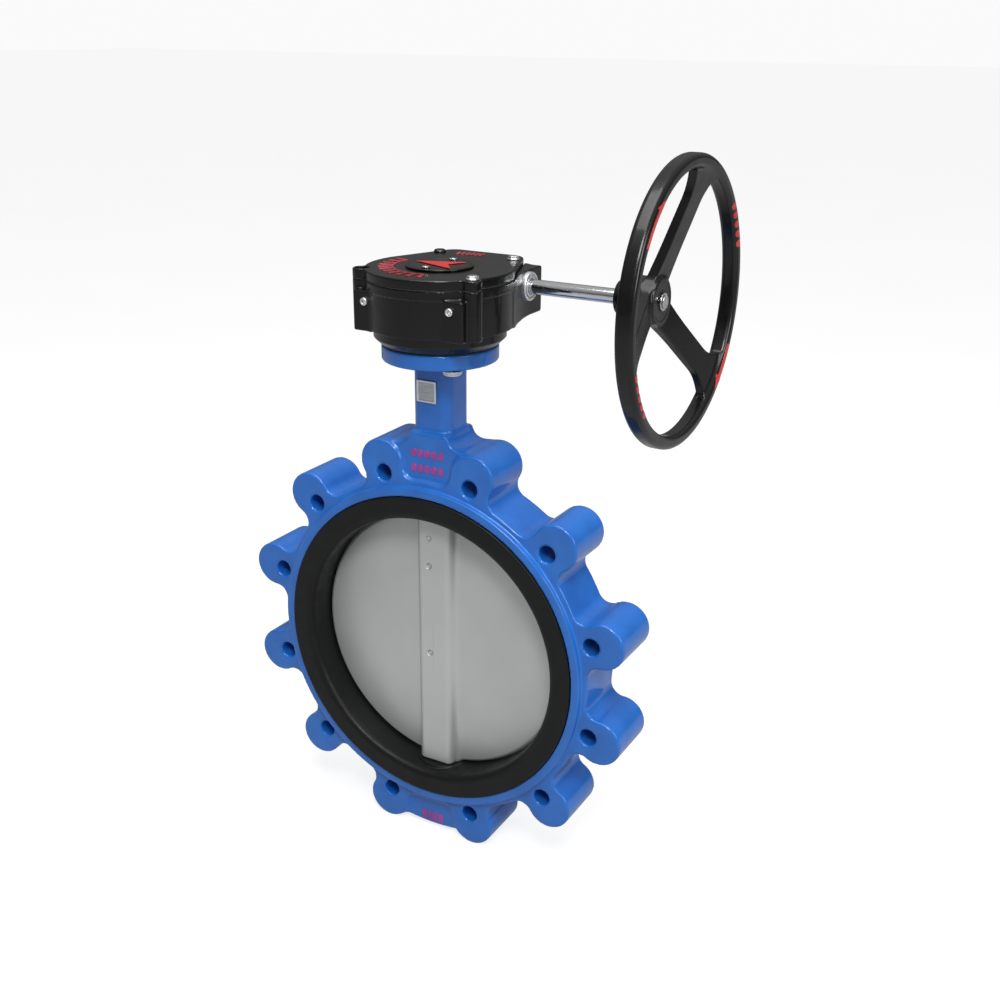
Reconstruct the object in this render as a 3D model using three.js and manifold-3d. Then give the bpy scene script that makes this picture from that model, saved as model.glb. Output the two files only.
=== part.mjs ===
// Lug-type butterfly valve, DN300, with a worm gearbox and a handwheel.
// Millimetres. +Z runs up the stem, +Y along the pipe, +X towards the handwheel.
// The origin is the centre of the bore, where the pipe axis meets the stem axis.
import * as THREE from 'three';
import { mergeVertices } from 'three/addons/utils/BufferGeometryUtils.js';
import Module from 'manifold-3d';

const wasm = await Module();
wasm.setup();

const GAP = 0.3; // clearance between pieces that touch on the real valve
const ROUND = 56; // sides of the large circles around the pipe axis

// ---- driving dimensions -------------------------------------------------

const BORE_RADIUS = 150;
const LINER = { wall: 10, lipRadius: 175, face: 40.5, lipBack: 33, mouthRadius: 158 };
const LINER_PAD = { radius: 29, level: 147.2 };
const LUG = { count: 12, circle: 200, centre: 212, radius: 25, web: 191, fillet: 14, halfDepth: 32.5, hole: 9 };
const FACE_RING = { radius: 185, face: 38.5 };
const NECK = { half: 22.5, corner: 12, foot: 230, fillet: 12 };
const SHOULDER = { halfWidth: 46, halfDepth: 27.5, base: 176, bottomRadius: 226 };
const FLANGE = { radius: 59.5, bottom: 317, top: 332.5, boltCircle: 102, hole: 5.5 };
const STEM = { radius: 15.75, bottom: -207, top: 399, clearance: 16.2, pocket: 20.3, pocketEnd: -210 };
const BUSH_RADIUS = 20;
const O_RING = { groove: 13.2, halfGroove: 1.6, centre: 14.7, section: 1.1, levels: [262, 272] };
const RETAINING_RING = { bottom: 324, top: 326, groove: 13.9, inner: 14.3, outer: 19.4 };

const DISC = { radius: 149.6, centreHalf: 12, edgeHalf: 5, end: 146.8, bossHalf: 21, bossFace: 20 };
const PIN = { radius: 2.6, x: -5, levels: [124, 92, -11.5], halfLength: 19.2 };

const GASKET = { bottom: 332.8, top: 333.4 };
const HOUSING = {
  bottom: 333.7, taperTop: 341, ledge: 350, top: 398.6, ring: 67, radius: 75, cavity: 66, floor: 352,
};
const WORM_CASE = { halfWidth: 46, back: 97, corner: 9, endFace: 66, endInner: 48, front: 28, rear: 92 };
const END_BOSS = { bottom: 355, top: 402.5 };
const POCKET = { halfLength: 40, front: 30, back: 82, floor: 369, roof: 403 };
const EAR = { x: 63, y: -43, radius: 9.5 };
const STOP = { x: 48.5, z: 379.7, tip: -30.4, end: -63.6, radius: 4, bossFace: -61.5, bossTop: 390 };
const SEAM = { bottom: 398.9, top: 399.5 };
const COVER = { bottom: 399.8, top: 409, bore: 32.2 };
const COVER_BOLTS = [[EAR.x, EAR.y, 0], [44, 71, 0], [-44, 71, 0], [-EAR.x, EAR.y, 5.4]];

const WORM_AXIS = { y: 60, z: 386.3 };
const GEAR = {
  module: 2.4, teeth: 40, halfFace: 8, pressure: 20, thickness: 3.47, cutTeeth: 16, firstTooth: 67.5,
};
const WORM = { pitchRadius: 12, turns: 5, halfThread: 22, halfLength: 36, hubRadius: 10.5, bore: 7.9 };
const WHEEL_HUB = { radius: 31.5, bottom: 352.8, top: 408.6, journal: 24, journalBottom: 336.5 };
const SHAFT = { radius: 7.5, left: -58, right: 211 };
const THRUST = { inner: 36.4, outer: 39.4, radius: 13.5 };
const SHAFT_BUSH = { inner: 49.3, radius: 11 };
const SHAFT_COLLAR = { radius: 14.5, face: 71.5 };
const END_CAP = { inner: -59.6, outer: -65.6 };

const INDICATOR = { radius: 34, bottom: 409.3, top: 411.3, screw: 25.5, thickness: 0.8 };

const WHEEL = { plane: 233.4, radius: 132.6, radial: 7.1, axial: 9.2 };
const HUB = { back: 168, front: 213, radius: 23 };
const SPOKE = { angles: [74, -46, -166], half: 14, root: 8, front: [206, 237], back: [195.5, 228] };
const WHEEL_SCREW = { washer: 8.9, seat: 215.2, radius: 6.4, head: 1.8, slot: 0.9, shank: 3.9 };

const NAMEPLATE = { left: -14, right: 9, bottom: 274.7, top: 297.6, thickness: 1.6, rim: 2.2 };

// ---- materials ----------------------------------------------------------

const material = (color, roughness, metalness) =>
  new THREE.MeshStandardMaterial({ color, roughness, metalness, flatShading: true });

const BLUE_EPOXY = material(0x3a6ebe, 0.38, 0.1);
const BLACK_PAINT = material(0x232325, 0.42, 0.1);
const EPDM = material(0x202122, 0.7, 0);
const DISC_METAL = material(0xa5a6a4, 0.45, 0.75);
const STEEL = material(0x9c9ea2, 0.35, 0.9);
const CHROME = material(0xd8dadd, 0.1, 1);
const BRONZE = material(0xa8743a, 0.4, 0.85);
const CAST_IRON = material(0x5a5a5c, 0.6, 0.6);
const FIBRE = material(0x3f4a44, 0.9, 0);
const RED_ENAMEL = material(0xc8322d, 0.4, 0);
const ALUMINIUM = material(0xc9ccd0, 0.4, 0.8);

// ---- solids -------------------------------------------------------------

function solid(geometry) {
  const bare = new THREE.BufferGeometry();
  bare.setAttribute('position', geometry.getAttribute('position'));
  bare.setIndex(geometry.getIndex());
  const merged = mergeVertices(bare, 1e-3);
  const index = merged.getIndex().array;
  const corners = [];
  for (let i = 0; i < index.length; i += 3) {
    const [a, b, c] = [index[i], index[i + 1], index[i + 2]];
    if (a !== b && b !== c && c !== a) corners.push(a, b, c);
  }
  const vertProperties = Float32Array.from(merged.getAttribute('position').array);
  const mesh = new wasm.Mesh({ numProp: 3, vertProperties, triVerts: Uint32Array.from(corners) });
  return new wasm.Manifold(mesh);
}

const join = (...parts) => parts.reduce((whole, part) => whole.add(part));
const cut = (base, ...tools) => tools.reduce((whole, tool) => whole.subtract(tool), base);

function alongAxis(geometry, axis) {
  if (axis === 'x') geometry.rotateZ(-Math.PI / 2);
  if (axis === 'z') geometry.rotateX(Math.PI / 2);
  return geometry;
}

// A round bar on an axis through `at`, running from `from` to `to` along that axis.
function rod(axis, radius, from, to, at = [0, 0, 0], sides = 24) {
  const geometry = new THREE.CylinderGeometry(radius, radius, to - from, sides);
  geometry.translate(0, (from + to) / 2, 0);
  return solid(alongAxis(geometry, axis).translate(...at));
}

// A body of revolution from [radius, height] pairs, listed from low to high on the outside.
function turned(axis, profile, at = [0, 0, 0], sides = 36) {
  const points = profile.map(([r, h]) => new THREE.Vector2(r, h));
  const geometry = new THREE.LatheGeometry(points, sides);
  return solid(alongAxis(geometry, axis).translate(...at));
}

// A ring of revolution whose section closes on itself.
const ringOf = (axis, section, at, sides) => turned(axis, [...section, section[0]], at, sides);

const tube = (axis, inner, outer, from, to, at, sides) =>
  ringOf(axis, [[inner, from], [outer, from], [outer, to], [inner, to]], at, sides);

function torus(axis, centre, radial, axial, at, sides, around) {
  const section = [];
  for (let i = 0; i < around; i += 1) {
    const angle = (2 * Math.PI * i) / around;
    section.push([centre + radial * Math.cos(angle), axial * Math.sin(angle)]);
  }
  return ringOf(axis, section, at, sides);
}

function block(x0, x1, y0, y1, z0, z1) {
  const geometry = new THREE.BoxGeometry(x1 - x0, y1 - y0, z1 - z0);
  return solid(geometry.translate((x0 + x1) / 2, (y0 + y1) / 2, (z0 + z1) / 2));
}

// A flat outline in X and Y, extruded from one height to another.
function plate(shape, z0, z1, steps = 1) {
  const geometry = new THREE.ExtrudeGeometry(shape, { depth: z1 - z0, bevelEnabled: false, steps });
  return geometry.translate(0, 0, z0);
}

// An outline drawn in X and Z, extruded along Y.
function upright(shape, y0, y1) {
  return solid(plate(shape, -y1, -y0).rotateX(Math.PI / 2));
}

const outline = (points) => new THREE.Shape(points.map(([x, y]) => new THREE.Vector2(x, y)));
const radians = THREE.MathUtils.degToRad;

// Points along a circular arc, angles in radians.
function arc(x, y, radius, from, to, pieces) {
  return Array.from({ length: pieces + 1 }, (_, i) => {
    const angle = from + ((to - from) * i) / pieces;
    return [x + radius * Math.cos(angle), y + radius * Math.sin(angle)];
  });
}

function roundedSquare(half, radius) {
  const centre = half - radius;
  const quarter = Math.PI / 2;
  return outline([
    ...arc(centre, centre, radius, 0, quarter, 5),
    ...arc(-centre, centre, radius, quarter, 2 * quarter, 5),
    ...arc(-centre, -centre, radius, 2 * quarter, 3 * quarter, 5),
    ...arc(centre, -centre, radius, 3 * quarter, 4 * quarter, 5),
  ]);
}

function polar(radius, degrees) {
  return [radius * Math.cos(radians(degrees)), radius * Math.sin(radians(degrees))];
}

// ---- assembly -----------------------------------------------------------

const valve = new THREE.Group();

function add(name, body, finish) {
  const mesh = body.getMesh();
  const geometry = new THREE.BufferGeometry();
  geometry.setAttribute('position', new THREE.BufferAttribute(Float32Array.from(mesh.vertProperties), 3));
  geometry.setIndex(new THREE.BufferAttribute(Uint32Array.from(mesh.triVerts), 1));
  geometry.computeVertexNormals();
  const piece = new THREE.Mesh(geometry, finish);
  piece.name = name;
  valve.add(piece);
}

// ---- valve body ---------------------------------------------------------

// One ring of rounded lugs, joined to the web by concave fillets.
function lugRing() {
  const { web, centre, radius, fillet, count } = LUG;
  const toFillet = web + fillet;
  const lugToFillet = radius + fillet;
  const turn = Math.acos((toFillet ** 2 + centre ** 2 - lugToFillet ** 2) / (2 * toFillet * centre));
  const filletAt = [toFillet * Math.cos(turn), toFillet * Math.sin(turn)];
  const lugEdge = Math.atan2(filletAt[1], filletAt[0] - centre);
  const oneLug = [
    ...arc(filletAt[0], -filletAt[1], fillet, Math.PI - turn, Math.PI - lugEdge, 3),
    ...arc(centre, 0, radius, -lugEdge, lugEdge, 9).slice(1, -1),
    ...arc(filletAt[0], filletAt[1], fillet, Math.PI + lugEdge, Math.PI + turn, 3),
  ];
  const points = [];
  for (let k = 0; k < count; k += 1) {
    const angle = ((k + 0.5) * 2 * Math.PI) / count;
    const [cos, sin] = [Math.cos(angle), Math.sin(angle)];
    points.push(...oneLug.map(([x, y]) => [x * cos - y * sin, x * sin + y * cos]));
  }
  return upright(outline(points), -LUG.halfDepth, LUG.halfDepth);
}

function lugHole(k) {
  const [x, z] = polar(LUG.circle, ((k + 0.5) * 360) / LUG.count);
  return rod('y', LUG.hole, -40, 40, [x, 0, z], 14);
}

function shoulder() {
  const { halfWidth, halfDepth, base } = SHOULDER;
  const { half, foot, fillet } = NECK;
  const quarter = Math.PI / 2;
  const points = [
    [-halfWidth, base], [halfWidth, base], [halfWidth, foot],
    ...arc(half + fillet, foot + fillet, fillet, -quarter, -2 * quarter, 5),
    ...arc(-half - fillet, foot + fillet, fillet, 0, -quarter, 5),
    [-halfWidth, foot],
  ];
  return upright(outline(points), -halfDepth, halfDepth);
}

function bottomBoss() {
  const { halfWidth, halfDepth, base, bottomRadius } = SHOULDER;
  const spread = Math.asin(halfWidth / bottomRadius);
  const lowest = -Math.PI / 2;
  const points = [
    [halfWidth, -base], [-halfWidth, -base],
    ...arc(0, 0, bottomRadius, lowest - spread, lowest + spread, 8),
  ];
  return upright(outline(points), -halfDepth, halfDepth);
}

const mountBoltPlaces = [135, 315].map((degrees) => polar(FLANGE.boltCircle / 2, degrees));

function valveBody() {
  const neck = solid(plate(roundedSquare(NECK.half, NECK.corner), SHOULDER.base, FLANGE.bottom + 1));
  const flange = rod('z', FLANGE.radius, FLANGE.bottom, FLANGE.top, [0, 0, 0], 40);
  const faceRing = rod('y', FACE_RING.radius, -FACE_RING.face, FACE_RING.face, [0, 0, 0], ROUND);
  const casting = join(lugRing(), faceRing, shoulder(), bottomBoss(), neck, flange);
  const wall = BORE_RADIUS + LINER.wall + GAP;
  const lipSeat = LINER.lipRadius + GAP;
  const seatFloor = LINER.lipBack - GAP - 0.1;
  const bores = [
    rod('y', wall, -60, 60, [0, 0, 0], ROUND),
    rod('y', lipSeat, -60, -seatFloor, [0, 0, 0], ROUND),
    rod('y', lipSeat, seatFloor, 60, [0, 0, 0], ROUND),
    rod('z', STEM.pocket, STEM.pocketEnd, FLANGE.top + 1, [0, 0, 0], 20),
  ];
  const boltHoles = mountBoltPlaces.map(([x, y]) => rod('z', FLANGE.hole, 310, 340, [x, y, 0], 12));
  const lugHoles = Array.from({ length: LUG.count }, (_, k) => lugHole(k));
  return cut(casting, ...bores, ...boltHoles, ...lugHoles);
}

add('valve_body', valveBody(), BLUE_EPOXY);

// ---- liner, disc and stem -----------------------------------------------

function seatLiner() {
  const { wall, lipRadius, face, lipBack, mouthRadius } = LINER;
  const half = [[BORE_RADIUS, 31], [BORE_RADIUS + 2.4, 37.5], [mouthRadius, face], [lipRadius, face],
    [lipRadius, lipBack], [BORE_RADIUS + wall, lipBack]];
  const section = [...half.map(([r, y]) => [r, -y]), ...[...half].reverse()];
  const sleeve = ringOf('y', section, [0, 0, 0], ROUND);
  const deep = BORE_RADIUS + wall - 1;
  const pads = join(
    rod('z', LINER_PAD.radius, LINER_PAD.level, deep - 3, [0, 0, 0], 32),
    rod('z', LINER_PAD.radius, 3 - deep, -LINER_PAD.level, [0, 0, 0], 32),
  );
  return cut(join(sleeve, pads), rod('z', STEM.clearance, -200, 200));
}

function discPlate() {
  const { radius, centreHalf, edgeHalf, end, bossHalf, bossFace } = DISC;
  const back = [[0, -centreHalf], [95, -9], [radius - 2.2, -edgeHalf], [radius, 0]];
  const front = back.slice(0, -1).reverse().map(([r, y]) => [r, -y]);
  const lens = turned('y', [...back, ...front], [0, 0, 0], ROUND);
  const half = [[-bossHalf, 0], [-bossHalf, -13], [-17.5, -bossFace + 1.2], [-14, -bossFace], [14, -bossFace],
    [17.5, -bossFace + 1.2], [bossHalf, -13]];
  const section = outline([...half, ...half.map(([x, y]) => [-x, -y])]);
  const boss = solid(plate(section, -end, end));
  const trim = block(-200, 200, -200, 200, -end, end);
  const pinHoles = PIN.levels.map((z) => rod('y', PIN.radius + GAP, -30, 30, [PIN.x, 0, z], 8));
  return cut(join(lens.intersect(trim), boss), rod('z', STEM.radius + GAP, -200, 200), ...pinHoles);
}

function stem() {
  const bar = rod('z', STEM.radius, STEM.bottom, STEM.top, [0, 0, 0], 20);
  const grooves = O_RING.levels.map((z) =>
    tube('z', O_RING.groove, 20, z - O_RING.halfGroove, z + O_RING.halfGroove, [0, 0, 0], 20));
  const { groove, bottom: clipBottom, top: clipTop } = RETAINING_RING;
  const clip = tube('z', groove, 20, clipBottom - GAP, clipTop + GAP, [0, 0, 0], 20);
  const pinHoles = PIN.levels.map((z) => rod('y', PIN.radius + GAP, -30, 30, [PIN.x, 0, z], 8));
  const keyway = block(12, 20, -4 - GAP, 4 + GAP, 356 - GAP, 396 + GAP);
  return cut(bar, ...grooves, clip, ...pinHoles, keyway);
}

function retainingRing() {
  const { bottom, top, inner, outer } = RETAINING_RING;
  return cut(tube('z', inner, outer, bottom, top, [0, 0, 0], 20), block(0, 30, -4, 4, bottom - 1, top + 1));
}

const bush = (from, to) => tube('z', STEM.clearance, BUSH_RADIUS, from, to, [0, 0, 0], 20);

add('seat_liner', seatLiner(), EPDM);
add('disc', discPlate(), DISC_METAL);
add('stem', stem(), STEEL);
PIN.levels.forEach((z, i) => {
  add(`disc_pin_${i + 1}`, rod('y', PIN.radius, -PIN.halfLength, PIN.halfLength, [PIN.x, 0, z], 8), STEEL);
});
add('upper_bush', bush(250, 322), BRONZE);
add('middle_bush', bush(164, 198), BRONZE);
add('lower_bush', bush(-206, -164), BRONZE);
O_RING.levels.forEach((z, i) => {
  const { centre, section } = O_RING;
  add(`stem_oring_${i + 1}`, torus('z', centre, section, section, [0, 0, z], 18, 5), EPDM);
});
add('stem_retaining_ring', retainingRing(), STEEL);
add('stem_key', block(12 + GAP, 19, -4, 4, 356, 396), STEEL);

// ---- gearbox housing ----------------------------------------------------

// The plan of the gear case: the round gear chamber and, behind it, the square worm chamber.
function casePlan(grow = 0) {
  const { halfWidth, back, corner } = WORM_CASE;
  const radius = HOUSING.radius + grow;
  const round = corner + grow;
  const cornerX = halfWidth - corner;
  const cornerY = back - corner;
  const reach = Math.hypot(cornerX, cornerY);
  const tangent = Math.atan2(cornerY, cornerX) - Math.acos((radius - round) / reach);
  return outline([
    ...arc(0, 0, radius, Math.PI - tangent, 2 * Math.PI + tangent, 32),
    ...arc(cornerX, cornerY, round, tangent, Math.PI / 2, 3),
    ...arc(-cornerX, cornerY, round, Math.PI / 2, Math.PI - tangent, 3),
  ]);
}

const casePlate = (z0, z1, grow) => solid(plate(casePlan(grow), z0, z1));

const bothSides = (make) => join(make(1), make(-1));

const ears = (z0, z1) => bothSides((side) => rod('z', EAR.radius, z0, z1, [side * EAR.x, EAR.y, 0], 18));

function stopBosses() {
  return bothSides((side) => {
    const [low, high] = [side * 39, side * 62.5].sort((a, b) => a - b);
    return block(low, high, STOP.bossFace, -35, HOUSING.ledge, STOP.bossTop);
  });
}

function endBosses() {
  const raised = bothSides((side) => {
    const inner = side * WORM_CASE.endInner;
    const outer = side * WORM_CASE.endFace;
    const span = [Math.min(inner, outer), Math.max(inner, outer)];
    return block(...span, WORM_CASE.front, WORM_CASE.rear, END_BOSS.bottom, END_BOSS.top);
  });
  return cut(raised, casePlate(HOUSING.top, 420, 0.5));
}

function housing() {
  const { bottom, taperTop, ledge, top, ring, radius, cavity, floor } = HOUSING;
  const foot = [[0, bottom], [FLANGE.radius, bottom], [ring, taperTop], [ring, ledge], [0, ledge]];
  const base = turned('z', foot, [0, 0, 0], 40);
  const drum = rod('z', radius, ledge - 0.5, END_BOSS.bottom, [0, 0, 0], 44);
  const body = join(base, drum, casePlate(END_BOSS.bottom, top), ears(ledge, top), stopBosses(), endBosses());
  const wormBore = (r, x0, x1) => rod('x', r, x0, x1, [0, WORM_AXIS.y, WORM_AXIS.z], 24);
  const { halfLength, front, back, floor: pocketFloor } = POCKET;
  const hollows = [
    rod('z', cavity, floor, 420, [0, 0, 0], 40),
    block(-halfLength, halfLength, front, back, pocketFloor, 420),
    rod('z', WHEEL_HUB.journal + 0.5, bottom - 1, floor + 1, [0, 0, 0], 32),
    wormBore(8.3, -SHAFT_BUSH.inner, SHAFT_BUSH.inner),
    wormBore(SHAFT_BUSH.radius + GAP, SHAFT_BUSH.inner - GAP, 70),
    wormBore(SHAFT_BUSH.radius + GAP, -70, -SHAFT_BUSH.inner + GAP),
    ...COVER_BOLTS.map(([x, y]) => rod('z', 3.5, 390, 420, [x, y, 0], 14)),
    ...mountBoltPlaces.map(([x, y]) => rod('z', 5.2, bottom - 1, 348, [x, y, 0], 12)),
    ...[1, -1].map((side) => rod('y', STOP.radius + GAP, -80, -30, [side * STOP.x, 0, STOP.z], 16)),
  ];
  return cut(body, ...hollows);
}

function cover() {
  const { bottom, top, bore } = COVER;
  const lid = join(casePlate(bottom, top), ears(bottom, top));
  const { halfLength, front, back, roof } = POCKET;
  const sealGroove = tube('z', bore - 1, 34.6, 402.6, 405.4, [0, 0, 0], 32);
  const holes = COVER_BOLTS.flatMap(([x, y, sunk]) => {
    const shank = rod('z', 3.6, 390, 420, [x, y, 0], 14);
    return sunk ? [shank, rod('z', 7.2, top - sunk, 420, [x, y, 0], 20)] : [shank];
  });
  const wormRoom = block(-halfLength, halfLength, front + 12, back, bottom - 1, roof);
  return cut(lid, rod('z', bore, 390, 420, [0, 0, 0], 36), sealGroove, wormRoom, ...holes);
}

function coverGasket() {
  const { bottom, top } = SEAM;
  const { halfLength, front, back } = POCKET;
  const sheet = join(casePlate(bottom, top), ears(bottom, top));
  const holes = COVER_BOLTS.map(([x, y]) => rod('z', 3.6, 390, 420, [x, y, 0], 14));
  const pocket = block(-halfLength, halfLength, front, back, 390, 420);
  return cut(sheet, rod('z', HOUSING.cavity, 390, 420, [0, 0, 0], 40), pocket, ...holes);
}

function flangeGasket() {
  const holes = mountBoltPlaces.map(([x, y]) => rod('z', FLANGE.hole, 320, 340, [x, y, 0], 12));
  return cut(tube('z', 26, FLANGE.radius - 0.5, GASKET.bottom, GASKET.top, [0, 0, 0], 28), ...holes);
}

function hexagon(flats, z0, z1, at) {
  return rod('z', flats / Math.sqrt(3), z0, z1, at, 6);
}

// A hexagon bolt whose shank runs up from a flanged head below or down from one above.
function hexBolt(x, y, { shank, flange, flats, head, seat, end, up }) {
  const skirt = seat + (up ? -1 : 1) * 1.6;
  const crown = seat + (up ? -1 : 1) * head;
  const span = (a, b) => [Math.min(a, b), Math.max(a, b)];
  return join(
    rod('z', shank, ...span(seat, end), [x, y, 0], 8),
    rod('z', flange, ...span(seat, skirt), [x, y, 0], 12),
    hexagon(flats, ...span(skirt, crown), [x, y, 0]),
  );
}

add('gearbox_gasket', flangeGasket(), FIBRE);
add('gearbox_housing', housing(), BLACK_PAINT);
add('cover_gasket', coverGasket(), FIBRE);
add('gearbox_cover', cover(), BLACK_PAINT);
COVER_BOLTS.forEach(([x, y, sunk], i) => {
  const seat = COVER.top + GAP - sunk;
  const size = { shank: 3.1, flange: 6.5, flats: 10, head: 3.8, seat, end: 391, up: false };
  add(`cover_bolt_${i + 1}`, hexBolt(x, y, size), i < 2 ? STEEL : BLACK_PAINT);
});
mountBoltPlaces.forEach(([x, y], i) => {
  const seat = FLANGE.bottom - GAP;
  const size = { shank: 4.9, flange: 10.2, flats: 16, head: 5, seat, end: 346, up: true };
  add(`mount_bolt_${i + 1}`, hexBolt(x, y, size), STEEL);
});
[1, -1].forEach((side, i) => {
  const screw = rod('y', STOP.radius, STOP.end, STOP.tip, [side * STOP.x, 0, STOP.z], 16);
  const socket = rod('y', 2.3, STOP.end - 1, STOP.end + 4, [side * STOP.x, 0, STOP.z], 6);
  add(`stop_screw_${i + 1}`, cut(screw, socket), STEEL);
});

// ---- worm gearing -------------------------------------------------------

const pitchRadius = (GEAR.module * GEAR.teeth) / 2;
const tipRadius = pitchRadius + GEAR.module;
const rootRadius = pitchRadius - 1.2 * GEAR.module;
const wormTip = WORM.pitchRadius + GEAR.module;
const wormRoot = WORM.pitchRadius - 1.2 * GEAR.module;
const lead = Math.PI * GEAR.module;
const leadSlope = lead / (2 * Math.PI * WORM.pitchRadius);
const toothPitch = 360 / GEAR.teeth;

// Half the angle that an involute tooth takes up at a radius, in degrees.
function halfTooth(radius) {
  const involute = (angle) => Math.tan(angle) - angle;
  const pressure = radians(GEAR.pressure);
  const baseRadius = pitchRadius * Math.cos(pressure);
  const atRadius = Math.acos(Math.min(1, baseRadius / radius));
  const half = GEAR.thickness / 2 / pitchRadius + involute(pressure) - involute(atRadius);
  return THREE.MathUtils.radToDeg(half);
}

function toothedSector() {
  const radii = [rootRadius, pitchRadius - 1.3, pitchRadius + 0.4, tipRadius];
  const points = [];
  const last = GEAR.firstTooth + (GEAR.cutTeeth - 1) * toothPitch;
  for (let angle = GEAR.firstTooth; angle <= last + 0.1; angle += toothPitch) {
    radii.forEach((r) => points.push(polar(r, angle - halfTooth(r))));
    [...radii].reverse().forEach((r) => points.push(polar(r, angle + halfTooth(r))));
  }
  for (let angle = last + 2; angle >= GEAR.firstTooth - 2.1; angle -= toothPitch) points.push(polar(36, angle));
  const geometry = plate(outline(points), -GEAR.halfFace, GEAR.halfFace, 2);
  const position = geometry.getAttribute('position');
  const vertex = new THREE.Vector3();
  const up = new THREE.Vector3(0, 0, 1);
  for (let i = 0; i < position.count; i += 1) {
    vertex.fromBufferAttribute(position, i);
    vertex.applyAxisAngle(up, (-leadSlope * vertex.z) / pitchRadius);
    position.setXYZ(i, vertex.x, vertex.y, vertex.z);
  }
  return solid(geometry.translate(0, 0, WORM_AXIS.z));
}

// The plain web of the quadrant, with a stop lug at each end.
function quadrantWeb() {
  const lug = { outer: 49.2, inner: 40, face: 30, back: 22.8 };
  const points = [[0, -8], [-30, -lug.face], [-lug.outer, -lug.face], [-lug.outer, -lug.back], [-43, -lug.back]];
  for (let angle = 200; angle >= 70; angle -= 10) points.push(polar(rootRadius - 0.6, angle));
  points.push([lug.back, 43], [lug.back, lug.outer], [lug.face, lug.outer], [lug.face, 30], [8, 0]);
  const web = plate(outline(points.reverse()), WORM_AXIS.z - GEAR.halfFace, WORM_AXIS.z + GEAR.halfFace);
  return solid(web);
}

function wormWheel() {
  const { radius, bottom, top, journal, journalBottom } = WHEEL_HUB;
  const hub = turned('z', [[0, journalBottom], [journal, journalBottom], [journal, bottom], [radius, bottom],
    [radius, top], [0, top]], [0, 0, 0], 36);
  const screws = [1, -1].map((side) => rod('z', 2.7, 399, 420, [0, side * INDICATOR.screw, 0], 12));
  return cut(
    join(hub, quadrantWeb(), toothedSector()),
    rod('z', STEM.radius + GAP, 330, 420, [0, 0, 0], 20),
    block(12, 19 + GAP, -4 - GAP, 4 + GAP, 330, 396 + 8),
    ...screws,
  );
}

// A left-hand thread of trapezoidal section, swept round the worm's axis.
function wormThread() {
  const stepsPerTurn = 12;
  const steps = WORM.turns * stepsPerTurn;
  const slope = Math.tan(radians(GEAR.pressure));
  const floor = wormRoot - 0.6;
  const halfAt = (r) => GEAR.thickness / 2 - (r - WORM.pitchRadius) * slope;
  const flank = [[halfAt(floor), floor], [halfAt(wormTip), wormTip]];
  const section = [...flank.map(([a, r]) => [-a, r]), ...[...flank].reverse()];
  const vertices = [];
  const index = [];
  for (let i = 0; i <= steps; i += 1) {
    const turn = ((i - steps / 2) / stepsPerTurn) * 2 * Math.PI;
    const shift = (-lead * turn) / (2 * Math.PI);
    const angle = Math.PI + turn;
    section.forEach(([a, r]) => vertices.push(shift + a, r * Math.cos(angle), r * Math.sin(angle)));
  }
  for (let i = 0; i < steps; i += 1) {
    for (let j = 0; j < 4; j += 1) {
      const [a, b] = [4 * i + j, 4 * i + ((j + 1) % 4)];
      index.push(a, b + 4, b, a, a + 4, b + 4);
    }
  }
  const end = 4 * steps;
  index.push(0, 1, 2, 0, 2, 3, end, end + 2, end + 1, end, end + 3, end + 2);
  const geometry = new THREE.BufferGeometry();
  geometry.setAttribute('position', new THREE.Float32BufferAttribute(vertices, 3));
  geometry.setIndex(index);
  return solid(geometry);
}

const onWormAxis = (body) => body.translate([0, WORM_AXIS.y, WORM_AXIS.z]);

function worm() {
  const { halfThread, halfLength, hubRadius, bore } = WORM;
  const core = join(
    rod('x', wormRoot, -halfThread, halfThread, [0, 0, 0], 12).rotate([15, 0, 0]),
    rod('x', hubRadius, -halfLength, -halfThread, [0, 0, 0], 18),
    rod('x', hubRadius, halfThread, halfLength, [0, 0, 0], 18),
  );
  const pinHole = rod('z', 2 + GAP, -20, 20, [29, 0, 0], 12);
  return onWormAxis(cut(join(core, wormThread()), rod('x', bore, -50, 50, [0, 0, 0], 24), pinHole));
}

function inputShaft() {
  const { radius, left, right } = SHAFT;
  const bar = turned('x', [[0, left], [radius - 1, left], [radius, left + 1], [radius, right - 1],
    [radius - 1, right], [0, right]], [0, 0, 0], 18);
  const keyway = block(175 - GAP, 203 + GAP, -2.5 - GAP, 2.5 + GAP, 4.6, 12);
  const pinHole = rod('z', 2 + GAP, -20, 20, [29, 0, 0], 12);
  return onWormAxis(cut(bar, keyway, pinHole, rod('x', 4.2, 185, 220, [0, 0, 0], 16)));
}

const shaftRing = (inner, outer, x0, x1) => onWormAxis(tube('x', inner, outer, x0, x1, [0, 0, 0], 16));

add('worm_wheel', wormWheel(), CAST_IRON);
add('worm', worm(), STEEL);
add('input_shaft', inputShaft(), CHROME);
add('worm_pin', onWormAxis(rod('z', 2, -9.6, 9.6, [29, 0, 0], 12)), STEEL);
add('thrust_washer_1', shaftRing(8.1, THRUST.radius, THRUST.inner, THRUST.outer), BRONZE);
add('thrust_washer_2', shaftRing(8.1, THRUST.radius, -THRUST.outer, -THRUST.inner), BRONZE);
add('shaft_bush_1', shaftRing(8.1, SHAFT_BUSH.radius, SHAFT_BUSH.inner, 58), BRONZE);
add('shaft_bush_2', shaftRing(8.1, SHAFT_BUSH.radius, -59, -SHAFT_BUSH.inner), BRONZE);
add('shaft_seal', shaftRing(8.1, SHAFT_BUSH.radius, 58.4, 65.4), EPDM);
add('shaft_collar', shaftRing(8.1, SHAFT_COLLAR.radius, WORM_CASE.endFace + GAP, SHAFT_COLLAR.face), CHROME);
const endCap = rod('x', SHAFT_BUSH.radius, END_CAP.outer, END_CAP.inner, [0, 0, 0], 24);
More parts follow.
